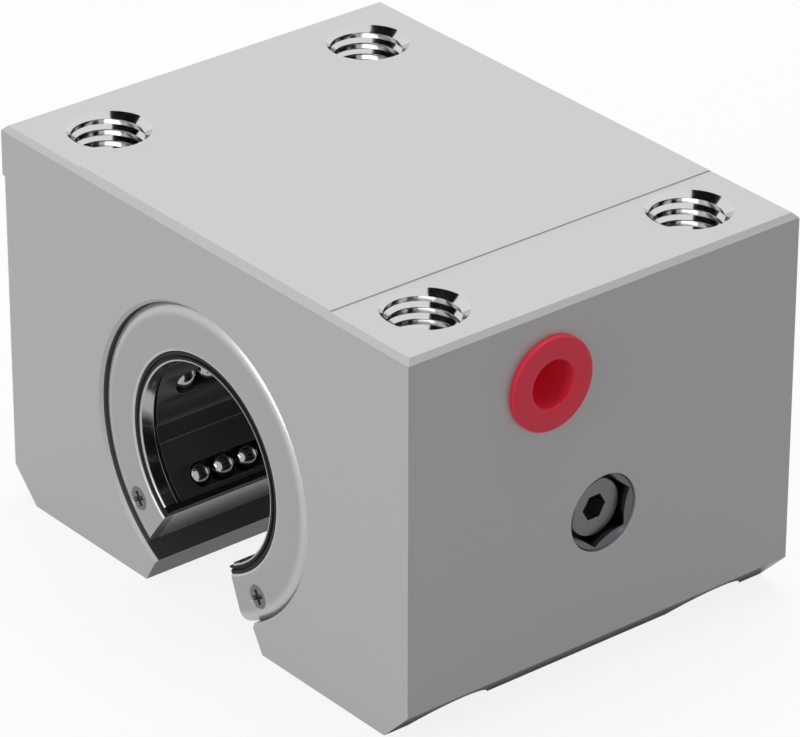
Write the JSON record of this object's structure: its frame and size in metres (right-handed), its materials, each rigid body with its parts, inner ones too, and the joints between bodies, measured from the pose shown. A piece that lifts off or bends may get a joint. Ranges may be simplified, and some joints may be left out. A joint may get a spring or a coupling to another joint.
{
  "type": "linear bearing block",
  "caption": "Open linear ball bearing block: square-cornered metal housing with a slotted bore for a shaft on a rail, mounting holes in the top and a grease port plug on the side.",
  "frame": {"origin": "on the shaft axis, half-way along the block", "axes": "+Y along the shaft bore, +Z to the mounting face, +X to the side with the grease port"},
  "size_m": [0.0788, 0.059, 0.051],
  "materials": {
    "housing_metal": "satin milled",
    "bearing_steel": "ground",
    "cage_plastic": "dark moulded",
    "ball_steel": "polished",
    "plate_steel": "fine satin",
    "guide_steel": "polished",
    "seal_rubber": "matt",
    "screw_steel": "satin",
    "lock_steel": "polished",
    "plug_plastic": "satin"
  },
  "bodies": {
    "block": {"ball_cage": "cage_plastic", "ball_circuit_1": "ball_steel", "ball_circuit_2": "ball_steel", "ball_circuit_3": "ball_steel", "ball_circuit_4": "ball_steel", "ball_circuit_5": "ball_steel", "ball_circuit_6": "ball_steel", "bearing_sleeve": "bearing_steel", "front_end_plate": "plate_steel", "front_guide_ring": "guide_steel", "front_left_plate_screw": "screw_steel", "front_right_plate_screw": "screw_steel", "front_wiper": "seal_rubber", "housing": "housing_metal", "left_side_seal": "seal_rubber", "lock_ring": "lock_steel", "locking_screw": "lock_steel", "rear_end_plate": "plate_steel", "rear_guide_ring": "guide_steel", "rear_left_plate_screw": "screw_steel", "rear_right_plate_screw": "screw_steel", "rear_wiper": "seal_rubber", "right_side_seal": "seal_rubber"},
    "plug": {"port_plug": "plug_plastic"}
  },
  "joints": [
    {"name": "plug_pull", "type": "slide", "parent": "block", "child": "plug", "axis": [1, 0, 0], "range_m": [0, 0.008]}
  ]
}
